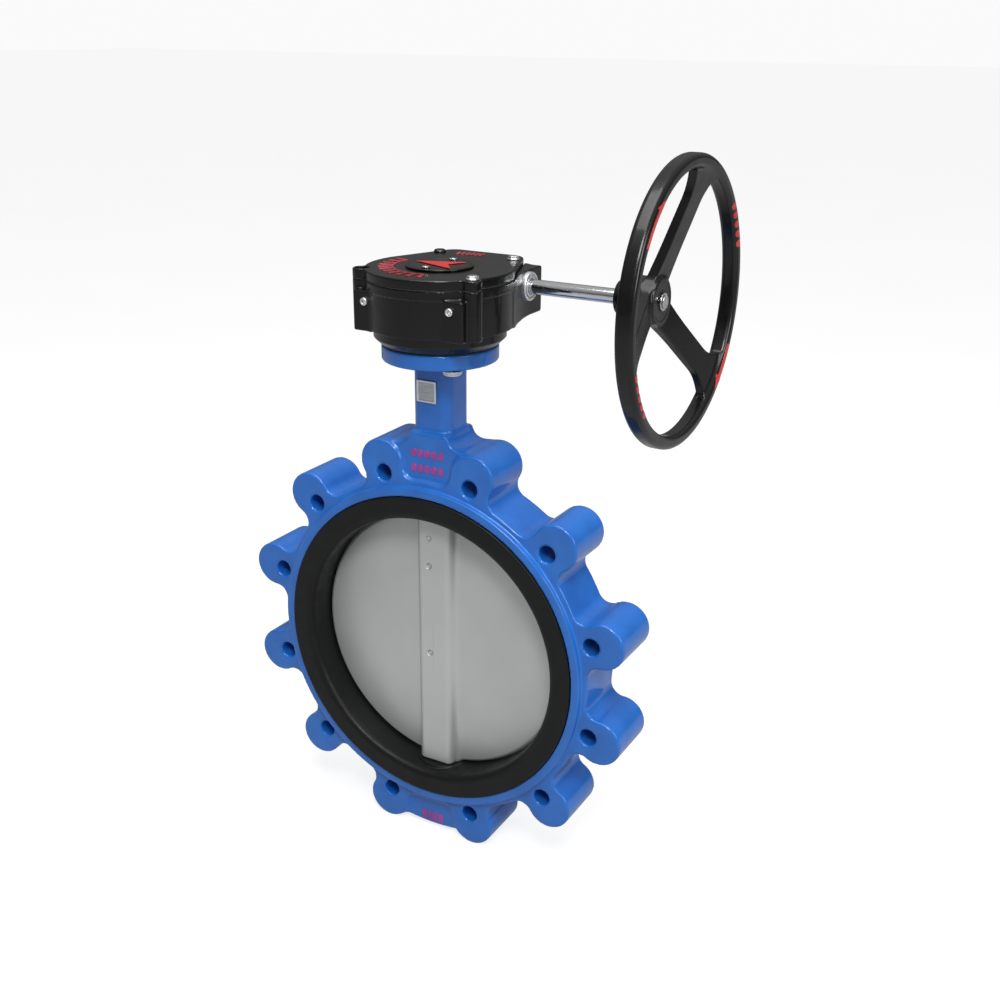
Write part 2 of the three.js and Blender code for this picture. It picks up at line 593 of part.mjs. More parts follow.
add('worm_end_cap', onWormAxis(endCap), STEEL);
add('hub_seal', torus('z', 33.3, 0.9, 0.9, [0, 0, 404], 24, 5), EPDM);

// ---- position indicator -------------------------------------------------

function indicatorDisc() {
  const holes = [1, -1].map((side) => rod('z', 2.7, 400, 420, [0, side * INDICATOR.screw, 0], 12));
  return cut(rod('z', INDICATOR.radius, INDICATOR.bottom, INDICATOR.top, [0, 0, 0], 32), ...holes);
}

function pointerArrow() {
  const shape = outline([[-27, 0], [20, 18], [10, 0], [24, -19]].reverse());
  return solid(plate(shape, INDICATOR.top + GAP, INDICATOR.top + GAP + INDICATOR.thickness));
}

function indicatorScrew(side) {
  const at = [0, side * INDICATOR.screw, 0];
  const seat = INDICATOR.top + GAP;
  return join(rod('z', 4.2, seat, seat + 2.2, at, 16), rod('z', 2.3, 400, seat, at, 12));
}

add('indicator_disc', indicatorDisc(), BLACK_PAINT);
add('pointer_arrow', pointerArrow(), RED_ENAMEL);
add('indicator_screw_1', indicatorScrew(1), STEEL);
add('indicator_screw_2', indicatorScrew(-1), STEEL);

// ---- handwheel ----------------------------------------------------------

// The plan of one spoke, seen along the shaft: straight, then flaring into hub and rim.
function spokePlan() {
  const { half, root } = SPOKE;
  const side = [[root, half + 4], [28, half + 2], [60, half], [96, half], [110, half + 3.5], [120, half + 11],
    [WHEEL.radius, half + 20]];
  return outline([...side.map(([r, t]) => [r, -t]), ...[...side].reverse()]);
}

// One spoke on the +Z side of the shaft: a flat plate that slopes forward from hub to rim.
function spoke() {
  const { root, front, back } = SPOKE;
  const slope = outline([[back[0], root], [front[0], root], [front[1], WHEEL.radius], [back[1], WHEEL.radius]]);
  return solid(plate(slope, -60, 60).rotateX(Math.PI / 2)).intersect(planformOf(spokePlan()));
}

// An outline of [distance from the shaft, width] pairs, swept along the shaft on the +Z side.
function planformOf(shape) {
  const geometry = plate(shape, 150, 260);
  const position = geometry.getAttribute('position');
  for (let i = 0; i < position.count; i += 1) {
    position.setXYZ(i, position.getZ(i), position.getY(i), position.getX(i));
  }
  return solid(flipped(geometry));
}

// Reverses every triangle, which a mirror image needs.
function flipped(geometry) {
  const position = geometry.getAttribute('position');
  for (let i = 0; i < position.count; i += 3) {
    const [x, y, z] = [position.getX(i), position.getY(i), position.getZ(i)];
    position.setXYZ(i, position.getX(i + 1), position.getY(i + 1), position.getZ(i + 1));
    position.setXYZ(i + 1, x, y, z);
  }
  return geometry;
}

function handwheel() {
  const { plane, radius, radial, axial } = WHEEL;
  const rim = torus('x', radius, radial, axial, [plane, 0, 0], 42, 8);
  const { back, front, radius: hubRadius } = HUB;
  const hubSection = [[0, back], [11, back], [17, back + 3.5], [21, back + 9.5], [hubRadius, back + 18],
    [hubRadius, front - 2], [hubRadius - 2, front], [0, front]];
  const hub = turned('x', hubSection, [0, 0, 0], 24);
  const spokes = SPOKE.angles.map((degrees) => spoke().rotate([degrees - 90, 0, 0]));
  const bore = rod('x', SHAFT.radius + GAP, 150, 230, [0, 0, 0], 24);
  const keyway = block(150, 206, -2.5 - GAP, 2.5 + GAP, 0, 10 + GAP);
  return onWormAxis(cut(join(rim, hub, ...spokes), bore, keyway));
}

function handwheelScrew() {
  const { seat, radius, head, slot, shank } = WHEEL_SCREW;
  const cap = turned('x', [[0, seat], [radius, seat], [radius, seat + head - 0.5], [radius - 0.5, seat + head],
    [0, seat + head]], [0, 0, 0], 24);
  const groove = block(seat + head - 0.9, seat + head + 2, -slot, slot, -9, 9);
  return onWormAxis(cut(join(cap, rod('x', shank, 190, seat, [0, 0, 0], 12)), groove));
}

add('handwheel', handwheel(), BLACK_PAINT);
add('handwheel_key', onWormAxis(block(175, 203, -2.5, 2.5, 4.9, 10)), STEEL);
const washer = tube('x', 4.3, WHEEL_SCREW.washer, HUB.front + GAP, WHEEL_SCREW.seat - GAP, [0, 0, 0], 20);
add('handwheel_washer', onWormAxis(washer), STEEL);
add('handwheel_screw', handwheelScrew(), CHROME);

// ---- nameplate ----------------------------------------------------------

function nameplate() {
  const { left, right, bottom, top, thickness, rim } = NAMEPLATE;
  const back = -NECK.half - GAP;
  const sheet = block(left, right, back - thickness, back, bottom, top);
  const face = back - thickness;
  const recess = block(left + rim, right - rim, face - 1, face + 0.6, bottom + rim, top - rim);
  return cut(sheet, recess);
}

add('nameplate', nameplate(), ALUMINIUM);

export default valve;
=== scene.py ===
"""Looks for a DN300 lug-type butterfly valve with a worm gearbox and a handwheel.

The castings are modelled as rounded solid fields, meshed on a grid and then moved onto the exact
surface, so that every cast edge and inside corner has a real radius. Turned parts are lathed.
Lengths of the valve are millimetres in the CAD frame, and each mesh is scaled to metres as it is
made. The floor, the lights and the camera are in metres.
"""

import math

import bpy
import numpy as np
from mathutils import Matrix, Vector


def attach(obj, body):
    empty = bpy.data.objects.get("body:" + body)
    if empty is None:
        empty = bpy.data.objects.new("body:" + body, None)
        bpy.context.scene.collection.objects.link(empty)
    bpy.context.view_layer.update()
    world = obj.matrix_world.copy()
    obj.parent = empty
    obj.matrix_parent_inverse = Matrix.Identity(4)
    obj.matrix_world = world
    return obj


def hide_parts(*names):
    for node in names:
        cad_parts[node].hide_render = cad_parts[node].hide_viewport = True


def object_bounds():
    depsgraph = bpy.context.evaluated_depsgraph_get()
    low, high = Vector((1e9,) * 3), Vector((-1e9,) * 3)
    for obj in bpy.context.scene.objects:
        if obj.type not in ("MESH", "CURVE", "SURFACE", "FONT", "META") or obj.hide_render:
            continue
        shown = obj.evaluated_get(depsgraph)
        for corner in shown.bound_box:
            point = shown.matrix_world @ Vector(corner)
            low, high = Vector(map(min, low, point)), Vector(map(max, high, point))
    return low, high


MM = 0.001

# ---- driving dimensions, as in the CAD frame --------------------------------

BORE = 150.0
LINER_OUTSIDE = 160.0
LIP = 175.0
LIP_FACE = 40.5
LIP_BACK = 33.0
LUG_COUNT = 12
LUG_CENTRE = 212.0
LUG_RADIUS = 24.9
LUG_FILLET = 14.0
LUG_DEPTH = 32.5
LUG_HOLE = 9.0
HOLE_CIRCLE = 200.0
WEB = 191.0
RING = 185.0
RING_FACE = 38.5
BLOCK = (46.0, 27.5)
BLOCK_TOP = 230.0
BLOCK_BOTTOM = 226.0
NECK = 22.5
NECK_CORNER = 12.0
FLANGE = (59.5, 317.0, 332.5)
STEM = 15.75
MOUNT_BOLT = 51 * math.sqrt(0.5)

GEARCASE = 75.0
CASE_HALF = 46.0
CASE_BACK = 97.0
CASE_CORNER = 9.0
CASE_TOP = 398.6
COVER_LEVELS = (399.8, 409.0)
EAR = (63.0, -43.0, 9.5)
STOP_X = 48.5
STOP_Z = 379.7
WORM_Y = 60.0
WORM_Z = 386.3
COVER_BOLTS = ((63, -43, 0), (44, 71, 0), (-44, 71, 0), (-63, -43, 5.4))

WHEEL_PLANE = 233.4
WHEEL_RADIUS = 132.4
RIM_SECTION = (6.8, 8.8, 5.2)
SPOKE_COUNT = 3
SPOKE_ANGLE = 74.0
INDICATOR = 34.0


# ---- rounded solid fields: negative inside, in millimetres -------------------


def smax(a, b, r):
    """The solid common to both, with the edge where they meet rounded."""
    blend = np.maximum(r - np.abs(a - b), 0)
    return np.maximum(a, b) + blend * blend / (4 * r)


def smin(a, b, r):
    """Both solids, with a fillet where they meet."""
    return -smax(-a, -b, r)


def carve(solid, hole, r):
    return smax(solid, -hole, r)


def box2(x, y, half_x, half_y, corner):
    """A rectangle with round corners."""
    qx = np.abs(x) - half_x + corner
    qy = np.abs(y) - half_y + corner
    outside = np.hypot(np.maximum(qx, 0), np.maximum(qy, 0))
    return outside + np.minimum(np.maximum(qx, qy), 0) - corner


def polygon(x, y, corners):
    """A flat outline through corners, in either direction round."""
    nearest = None
    inside = False
    for (ax, ay), (bx, by) in zip(corners, corners[1:] + corners[:1]):
        ex, ey = bx - ax, by - ay
        share = np.clip(((x - ax) * ex + (y - ay) * ey) / (ex * ex + ey * ey), 0, 1)
        gap = np.hypot(x - ax - share * ex, y - ay - share * ey)
        nearest = gap if nearest is None else np.minimum(nearest, gap)
        straddles = (y < ay) != (y < by)
        right_of = (x - ax) * ey < (y - ay) * ex
        inside = inside ^ (straddles & (right_of == (ey > 0)))
    return np.where(inside, -nearest, nearest)


def slab(z, low, high):
    return np.abs(z - (low + high) / 2) - (high - low) / 2


def between(value, low, high):
    """0 at low rising smoothly to 1 at high."""
    t = np.clip((value - low) / (high - low), 0, 1)
    return t * t * (3 - 2 * t)


def wrapped(angle):
    """An angle brought to within half a turn of 0."""
    return angle - 2 * math.pi * np.round(angle / (2 * math.pi))


def folded(u, v, count, first):
    """Polar copies: the point turned into the sector centred on the nearest of count directions."""
    radius = np.hypot(u, v)
    sector = 2 * math.pi / count
    angle = np.arctan2(v, u) - first
    angle = angle - sector * np.round(angle / sector)
    return radius * np.cos(angle), radius * np.sin(angle)


# ---- meshing ----------------------------------------------------------------

CORNERS = [(0, 0, 0), (1, 0, 0), (0, 1, 0), (1, 1, 0), (0, 0, 1), (1, 0, 1), (0, 1, 1), (1, 1, 1)]
EDGES = [(0, 1), (2, 3), (4, 5), (6, 7), (0, 2), (1, 3), (4, 6), (5, 7), (0, 4), (1, 5), (2, 6), (3, 7)]


def surface_net(values):
    """Quads around the zero level of a grid of values, in grid units."""
    inside = values < 0
    count = np.zeros(np.array(values.shape) - 1, np.int8)
    for dx, dy, dz in CORNERS:
        count += inside[dx:dx + count.shape[0], dy:dy + count.shape[1], dz:dz + count.shape[2]]
    cells = np.argwhere((count > 0) & (count < 8))
    number = np.full(count.shape, -1, np.int64)
    number[tuple(cells.T)] = np.arange(len(cells))
    at_corner = [values[tuple((cells + corner).T)] for corner in CORNERS]
    total = np.zeros((len(cells), 3))
    hits = np.zeros(len(cells))
    for a, b in EDGES:
        va = at_corner[a]
        vb = at_corner[b]
        crossed = (va < 0) != (vb < 0)
        share = np.where(crossed, va / np.where(crossed, va - vb, 1), 0)[:, None]
        start = np.array(CORNERS[a])
        step = np.array(CORNERS[b]) - start
        total += np.where(crossed[:, None], start + share * step, 0)
        hits += crossed
    points = cells + total / hits[:, None]
    quads = []
    for axis in range(3):
        low = np.moveaxis(inside, axis, 0)
        crossed = low[:-1] != low[1:]
        numbered = np.moveaxis(number, axis, 0)
        at = np.argwhere(crossed[:, 1:-1, 1:-1])
        i, j, k = at.T
        ring = [numbered[i, j, k], numbered[i, j + 1, k], numbered[i, j + 1, k + 1], numbered[i, j, k + 1]]
        outward = low[:-1][:, 1:-1, 1:-1][i, j, k]
        if axis == 1:
            outward = ~outward
        square = np.stack(ring, 1)
        quads.append(np.where(outward[:, None], square, square[:, ::-1]))
    return points, np.concatenate(quads)


def gradient(field, points, reach=0.05):
    slopes = []
    for axis in range(3):
        shift = np.zeros(3)
        shift[axis] = reach
        ahead = field(*(points + shift).T)
        behind = field(*(points - shift).T)
        slopes.append((ahead - behind) / (2 * reach))
    return np.stack(slopes, 1)


def cast(name, field, low, high, step):
    """A smooth mesh of a solid field inside a box, as an object."""
    low = np.array(low, float) - 1.5 * step
    size = np.ceil((np.array(high, float) + 1.5 * step - low) / step).astype(int) + 1
    x, y, z = (low[axis] + step * np.arange(size[axis]) for axis in range(3))
    grid = (x[:, None, None], y[None, :, None], z[None, None, :])
    values = np.broadcast_to(field(*grid), tuple(size)).astype(np.float32)
    points, quads = surface_net(values)
    points = low + points * step
    for _ in range(3):
        slope = gradient(field, points)
        steep = np.maximum((slope * slope).sum(1), 0.05)
        move = -(field(*points.T) / steep)[:, None] * slope
        length = np.linalg.norm(move, axis=1, keepdims=True)
        points += move * np.minimum(1, 0.45 * step / np.maximum(length, 1e-9))
    normals = gradient(field, points)
    normals /= np.maximum(np.linalg.norm(normals, axis=1, keepdims=True), 1e-9)
    return mesh_object(name, points, quads, normals)


def mesh_object(name, points, faces, normals):
    mesh = bpy.data.meshes.new(name)
    mesh.from_pydata((np.asarray(points) * MM).tolist(), [], [list(map(int, face)) for face in faces])
    mesh.update()
    mesh.polygons.foreach_set("use_smooth", np.ones(len(mesh.polygons), bool))
    mesh.normals_split_custom_set_from_vertices(np.asarray(normals).tolist())
    thing = bpy.data.objects.new(name, mesh)
    bpy.context.scene.collection.objects.link(thing)
    return thing


def rounded_profile(corners, pieces=4):
    """Points and outward normals along a profile of (radius, height, edge rounding) corners."""
    points = []
    normals = []
    places = [np.array(corner[:2], float) for corner in corners]
    directions = [b - a for a, b in zip(places, places[1:])]
    directions = [d / np.linalg.norm(d) for d in directions]
    facing = [np.array([d[1], -d[0]]) for d in directions]
    for i, place in enumerate(places):
        if i == 0 or i == len(places) - 1:
            points.append(place)
            normals.append(facing[0] if i == 0 else facing[-1])
            continue
        radius = max(corners[i][2], 0.02)
        before, after = directions[i - 1], directions[i]
        turn = math.acos(np.clip(before @ after, -1, 1))
        back = radius * math.tan(turn / 2)
        start = place - before * back
        side = math.copysign(1, before[0] * after[1] - before[1] * after[0])
        centre = start - facing[i - 1] * radius * side
        for k in range(pieces + 1):
            share = k / pieces
            bent = math.sin((1 - share) * turn) * facing[i - 1] + math.sin(share * turn) * facing[i]
            bent = bent / math.sin(turn)
            points.append(centre + bent * radius * side)
            normals.append(bent)
    return np.array(points), np.array(normals)


AXES = {
    "x": ((0, 1, 0), (0, 0, 1), (1, 0, 0)),
    "y": ((0, 0, 1), (1, 0, 0), (0, 1, 0)),
    "z": ((1, 0, 0), (0, 1, 0), (0, 0, 1)),
}


def lathe(name, corners, axis, at=(0, 0, 0), segments=64):
    """A turned piece. Its profile of (radius, height, edge rounding) runs from low to high on the outside."""
    profile, facing = rounded_profile(corners)
    across, up, along = (np.array(v, float) for v in AXES[axis])
    angles = 2 * math.pi * np.arange(segments) / segments
    radial = np.cos(angles)[:, None] * across + np.sin(angles)[:, None] * up
    points = []
    normals = []
    rows = []
    for (radius, height), (outward, upward) in zip(profile, facing):
        spokes = radial if radius > 1e-6 else radial[:1] * 0
        rows.append([len(points) + k % len(spokes) for k in range(segments + 1)])
        points.extend(radius * spokes + height * along + np.array(at))
        normals.extend(outward * spokes + upward * along)
    faces = []
    for lower, upper in zip(rows, rows[1:]):
        for k in range(segments):
            corners_of_face = [lower[k], lower[k + 1], upper[k + 1], upper[k]]
            faces.append(list(dict.fromkeys(corners_of_face)))
    return mesh_object(name, points, faces, normals)


def ring_profile(inner, outer, low, high, edge):
    """The closed section of a washer or bush, starting inside its bore."""
    middle = (low + high) / 2
    return [(inner, middle, 0), (inner, low, edge), (outer, low, edge), (outer, high, edge),
            (inner, high, edge), (inner, middle, 0)]


# ---- materials --------------------------------------------------------------


class Finish:
    """A procedural material: mottled colour, uneven gloss and a fine relief, all in object space."""

    def __init__(self, name, metallic=0.0, coat=0.0, coat_roughness=0.1, specular=0.5):
        self.material = bpy.data.materials.new(name)
        self.material.use_nodes = True
        self.tree = self.material.node_tree
        self.shader = self.tree.nodes["Principled BSDF"]
        self.shader.inputs["Metallic"].default_value = metallic
        self.shader.inputs["Coat Weight"].default_value = coat
        self.shader.inputs["Coat Roughness"].default_value = coat_roughness
        self.shader.inputs["Specular IOR Level"].default_value = specular
        self.place = self.tree.nodes.new("ShaderNodeTexCoord").outputs["Object"]
        self.relief = None

    def noise(self, scale, detail=4.0, stretch=(1, 1, 1)):
        mapping = self.tree.nodes.new("ShaderNodeMapping")
        mapping.inputs["Scale"].default_value = stretch
        self.tree.links.new(self.place, mapping.inputs["Vector"])
        noise = self.tree.nodes.new("ShaderNodeTexNoise")
        noise.inputs["Scale"].default_value = scale
        noise.inputs["Detail"].default_value = detail
        self.tree.links.new(mapping.outputs["Vector"], noise.inputs["Vector"])
        return noise.outputs["Fac"]

    def spread(self, source, low, high, start=0.35, end=0.65):
        reach = self.tree.nodes.new("ShaderNodeMapRange")
        for socket, value in (("From Min", start), ("From Max", end), ("To Min", low), ("To Max", high)):
            reach.inputs[socket].default_value = value
        self.tree.links.new(source, reach.inputs["Value"])
        return reach.outputs["Result"]

    def colour(self, source, stops):
        """A colour ramp of (position, colour) stops over a noise."""
        ramp = self.tree.nodes.new("ShaderNodeValToRGB")
        elements = ramp.color_ramp.elements
        while len(elements) < len(stops):
            elements.new(0.5)
        for element, (position, colour) in zip(elements, stops):
            element.position = position
            element.color = linear(colour)
        self.tree.links.new(source, ramp.inputs["Fac"])
        self.tree.links.new(ramp.outputs["Color"], self.shader.inputs["Base Color"])
        return self

    def roughness(self, source, low, high):
        self.tree.links.new(self.spread(source, low, high), self.shader.inputs["Roughness"])
        return self

    def bump(self, source, height):
        """Relief of that height in metres; a second call adds to the first."""
        bump = self.tree.nodes.new("ShaderNodeBump")
        bump.inputs["Distance"].default_value = height
        self.tree.links.new(source, bump.inputs["Height"])
        if self.relief:
            self.tree.links.new(self.relief, bump.inputs["Normal"])
        self.relief = bump.outputs["Normal"]
        self.tree.links.new(self.relief, self.shader.inputs["Normal"])
        return self


def linear(colour):
    """A screen colour of 0 to 255 values as the linear light that shaders use."""
    parts = [value / 255 for value in colour]
    return [c / 12.92 if c <= 0.04045 else ((c + 0.055) / 1.055) ** 2.4 for c in parts] + [1.0]


def paint(name, dark, mid, light, rough, peel=0.00006, **options):
    """Sprayed paint over a casting: faint clouds of colour, orange peel and the sand-cast skin below."""
    finish = Finish(name, **options)
    finish.colour(finish.noise(28, 6), [(0.3, dark), (0.5, mid), (0.72, light)])
    finish.roughness(finish.noise(60, 5), *rough)
    finish.bump(finish.noise(500, 1), peel)
    return finish.bump(finish.noise(45, 1), peel * 4).material


def metal(name, dark, light, rough, stretch=(1, 1, 1), grain=0.000002, scale=900, **options):
    """Bare metal with a grain that runs along one direction when stretch says so."""
    finish = Finish(name, metallic=1.0, **options)
    finish.colour(finish.noise(scale * 0.12, 5, stretch), [(0.3, dark), (0.7, light)])
    finish.roughness(finish.noise(scale * 0.3, 4, stretch), *rough)
    return finish.bump(finish.noise(scale, 3, stretch), grain).material


def disc_metal(name):
    """A matt plated casting, polished in a narrow band where its edge meets the seat."""
    finish = Finish(name, metallic=0.45)
    finish.colour(finish.noise(7, 5), [(0.3, (192, 194, 194)), (0.7, (206, 208, 208))])
    nodes, links = finish.tree.nodes, finish.tree.links
    flat = nodes.new("ShaderNodeVectorMath")
    flat.operation = "MULTIPLY"
    flat.inputs[1].default_value = (1, 0, 1)
    links.new(finish.place, flat.inputs[0])
    radius = nodes.new("ShaderNodeVectorMath")
    radius.operation = "LENGTH"
    links.new(flat.outputs["Vector"], radius.inputs[0])
    polished = finish.spread(radius.outputs["Value"], 0, 1, 0.1452, 0.1462)
    blend = nodes.new("ShaderNodeMix")
    floats = [socket for socket in blend.inputs if socket.type == "VALUE"]
    floats[2].default_value = 0.14
    links.new(finish.spread(finish.noise(18), 0.4, 0.5), floats[1])
    links.new(polished, floats[0])
    links.new(blend.outputs[0], finish.shader.inputs["Roughness"])
    return finish.bump(finish.noise(60, 3), 0.00001).material


def rubber(name):
    finish = Finish(name, specular=0.28)
    finish.colour(finish.noise(40, 6), [(0.3, (9, 10, 11)), (0.55, (12, 13, 14)), (0.8, (16, 17, 18))])
    finish.roughness(finish.noise(90, 4), 0.36, 0.5)
    finish.bump(finish.noise(1400, 2), 0.00003)
    return finish.bump(finish.noise(160, 3), 0.00006).material


def fibre(name):
    finish = Finish(name, specular=0.2)
    finish.colour(finish.noise(700, 6, (1, 1, 6)), [(0.3, (40, 46, 42)), (0.7, (74, 82, 76))])
    finish.roughness(finish.noise(200), 0.8, 0.95)
    return finish.bump(finish.noise(900, 4), 0.00008).material


FINISHES = {
    "blue_epoxy": paint("blue_epoxy", (24, 98, 184), (28, 105, 194), (33, 112, 203), (0.3, 0.4), 0.00002,
                        coat=0.6, coat_roughness=0.07, specular=0.35),
    "black_paint": paint("black_paint", (5, 5, 6), (7, 7, 8), (9, 9, 10), (0.26, 0.36), 0.00002,
                         coat=0.3, coat_roughness=0.07, specular=0.3),
    "epdm_rubber": rubber("epdm_rubber"),
    "disc_metal": disc_metal("disc_metal"),
    "steel": metal("steel", (196, 198, 200), (226, 227, 228), (0.3, 0.42)),
    "chrome_steel": metal("chrome_steel", (205, 207, 210), (226, 228, 230), (0.05, 0.12), (1, 6, 6)),
    "bronze": metal("bronze", (150, 100, 52), (190, 136, 78), (0.28, 0.44), (1, 1, 8)),
    "gear_iron": metal("gear_iron", (78, 78, 80), (112, 112, 114), (0.38, 0.6), grain=0.00005, scale=400),
    "gasket_fibre": fibre("gasket_fibre"),
    "red_enamel": paint("red_enamel", (176, 30, 26), (200, 42, 36), (214, 58, 48), (0.28, 0.42), 0.00003,
                        coat=0.3),
    "plate_aluminium": metal("plate_aluminium", (180, 184, 188), (202, 206, 210), (0.4, 0.5), (1, 1, 14)),
}


def put(thing, body, slot, *nodes, finish=None):
    """A finished piece, in place of the CAD nodes named; its finish is its slot's own unless given."""
    thing.data.materials.append(finish or FINISHES[slot])
    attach(thing, body)
    if nodes:
        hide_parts(*nodes)
    return thing


# ---- valve body, liner and disc ---------------------------------------------


def lug_outline(along, across):
    """Web, concave fillet and lug, as arcs that run into each other, in one lug's own sector."""
    to_fillet = WEB + LUG_FILLET
    lug_to_fillet = LUG_RADIUS + LUG_FILLET
    turn = math.acos((to_fillet ** 2 + LUG_CENTRE ** 2 - lug_to_fillet ** 2) / (2 * to_fillet * LUG_CENTRE))
    fillet_x, fillet_y = to_fillet * math.cos(turn), to_fillet * math.sin(turn)
    edge = math.atan2(fillet_y, fillet_x - LUG_CENTRE)
    aside = np.abs(across)
    web = np.hypot(along, aside) - WEB
    lug = np.hypot(along - LUG_CENTRE, aside) - LUG_RADIUS
    fillet = LUG_FILLET - np.hypot(along - fillet_x, aside - fillet_y)
    outline = np.where(np.arctan2(aside, along - LUG_CENTRE) < edge, lug, fillet)
    return np.where(np.arctan2(aside, along) > turn, web, outline)


def body_field(x, y, z):
    depth = np.abs(y)
    from_axis = np.hypot(x, z)
    from_stem = np.hypot(x, y)
    along, across = folded(x, z, LUG_COUNT, math.radians(15))
    outline = lug_outline(along, across)
    casting = smax(outline, depth - LUG_DEPTH, 2.6)
    casting = smin(casting, smax(from_axis - RING, depth - RING_FACE, 1.6), 3)
    half_width, half_depth = BLOCK
    foot = smin(smax(np.abs(x) - half_width, z - BLOCK_TOP, 5), np.maximum(np.abs(x) - NECK, z - 250), 17)
    foot = smax(smax(foot, depth - half_depth, 4), np.maximum(150 - z, z - 243), 3)
    column = box2(x, y, NECK, NECK, NECK_CORNER)
    above = smin(foot, np.maximum(column, slab(z, 225, 318)), 5)
    below = smax(box2(x, y, half_width, half_depth, 4), from_axis - BLOCK_BOTTOM, 4)
    below = np.maximum(below, z + 150)
    casting = smin(casting, above, 6)
    casting = smin(casting, below, 6)
    radius, low, high = FLANGE
    casting = smin(casting, smax(from_stem - radius, slab(z, low, high), 2.2), 7)
    casting = carve(casting, from_axis - LINER_OUTSIDE - 0.3, 1)
    casting = carve(casting, np.maximum(from_axis - LIP - 0.3, LIP_BACK - 0.4 - depth), 1)
    casting = carve(casting, np.maximum(from_stem - 20.3, -210 - z), 1)
    hole = np.hypot(along - HOLE_CIRCLE, across) - LUG_HOLE - 1.6 * between(depth, LUG_DEPTH - 2.4, LUG_DEPTH)
    casting = carve(casting, hole, 1.2)
    bolt = np.hypot(np.abs(x) - MOUNT_BOLT, np.abs(y) - MOUNT_BOLT) - 5.5
    return carve(casting, np.maximum(bolt, 300 - z), 1)


def liner_field(x, y, z):
    depth = np.abs(y)
    from_axis = np.hypot(x, z)
    from_stem = np.hypot(x, y)
    sleeve = np.maximum(from_axis - LINER_OUTSIDE, depth - LIP_BACK - 3)
    lip = smax(from_axis - LIP, np.abs(depth - (LIP_BACK + LIP_FACE) / 2) - (LIP_FACE - LIP_BACK) / 2, 1.4)
    mouth = smax(BORE - from_axis, depth - LIP_FACE, 9)
    ring = np.maximum(np.minimum(sleeve, lip), mouth)
    pad = smax(np.maximum(from_stem - 29, 147.2 - np.abs(z)), np.abs(z) - 158, 1)
    return carve(smin(ring, pad, 2.5), from_stem - 16.2, 1.2)


PIN_X = -5.0
PIN_LEVELS = (124.0, 92.0, -11.5)
DISC_END = 146.8


def disc_field(x, y, z):
    depth = np.abs(y)
    from_axis = np.hypot(x, z)
    lens = smax(depth - 12 + 7 * (from_axis / 147.4) ** 2, from_axis - 149.6, 5)
    lens = smax(lens, np.abs(z) - DISC_END, 1.2)
    boss = smax(box2(x, y, 21, 20, 7.5), np.abs(z) - DISC_END, 1.2)
    solid = smin(lens, boss, np.where(x < 0, 1.5, 9))
    solid = carve(solid, np.hypot(x, y) - STEM - 0.3, 0.6)
    for level in PIN_LEVELS:
        hole = np.hypot(x - PIN_X, z - level) - 2.9 - 0.6 * between(depth, 19, 20)
        solid = carve(solid, hole, 0.5)
    return solid


# ---- gearbox ----------------------------------------------------------------


def case_plan(x, y):
    """The round gear chamber with the square worm chamber behind it, seen from above."""
    across = np.abs(x)
    corner_x = CASE_HALF - CASE_CORNER
    corner_y = CASE_BACK - CASE_CORNER
    reach = math.hypot(corner_x, corner_y)
    tangent = math.atan2(corner_y, corner_x) - math.acos((GEARCASE - CASE_CORNER) / reach)
    side = math.cos(tangent) * across + math.sin(tangent) * y - GEARCASE
    beyond = math.sin(tangent) * across - math.cos(tangent) * y
    back = np.maximum(smax(side, y - CASE_BACK, CASE_CORNER * 1.2), beyond)
    return np.minimum(np.hypot(x, y) - GEARCASE, back)


def ear_plan(x, y):
    return np.hypot(np.abs(x) - EAR[0], y - EAR[1]) - EAR[2]


def housing_field(x, y, z):
    across = np.abs(x)
    from_stem = np.hypot(x, y)
    from_worm = np.hypot(y - WORM_Y, z - WORM_Z)
    taper = 59.5 + 7.5 * np.clip((z - 333.7) / 7.3, 0, 1)
    base = smax(from_stem - taper, slab(z, 333.7, 352), 1.6)
    plan = case_plan(x, y)
    worm_chamber = np.maximum(plan, slab(z, 355, 380))
    drum = np.maximum(from_stem - GEARCASE, slab(z, 350, 380))
    below_rim = 0.9 * (1 - between(z, 389.2, 390.4))
    upper = np.maximum(plan, slab(z, 372, CASE_TOP))
    case = smax(np.minimum(np.minimum(worm_chamber, drum), upper) + below_rim, 350 - z, 2)
    ears = smax(ear_plan(x, y), slab(z, 350, CASE_TOP), 1.2)
    case = smin(case, ears, 4)
    stop_boss = box2(across - 50.75, y + 48.25, 11.75, 13.25, 2.5)
    case = smin(case, smax(stop_boss, slab(z, 350, 390), 1.8), 2.5)
    end_boss = smax(np.abs(across - 57) - 9, box2(y - 60, z - 378.75, 32, 23.75, 3), 1.4)
    case = smin(case, end_boss, 12)
    case = smax(case, np.minimum(z - CASE_TOP, np.maximum(0.5 - plan, z - 402.5)), 0.8)
    solid = smin(base, case, 1.5)
    hollow = np.maximum(from_stem - 66, 352 - z)
    pocket = np.maximum(box2(x, y - 56, 40, 26, 3), 369 - z)
    solid = carve(carve(solid, hollow, 1), pocket, 1)
    solid = carve(solid, from_stem - 24.5, 0.8)
    solid = carve(solid, from_worm - np.where(across < 49.3, 8.3, 11.3), 0.8)
    bolt = np.hypot(across - MOUNT_BOLT, np.abs(y) - MOUNT_BOLT) - 5.2
    solid = carve(solid, np.maximum(bolt, z - 348), 0.6)
    for bolt_x, bolt_y, _ in COVER_BOLTS:
        shank = np.hypot(x - bolt_x, y - bolt_y) - 3.5
        solid = carve(solid, np.maximum(shank, 390 - z), 0.6)
    stop_screw = np.maximum(np.hypot(across - STOP_X, z - STOP_Z) - 4.3, y + 30)
    return carve(solid, stop_screw, 1)


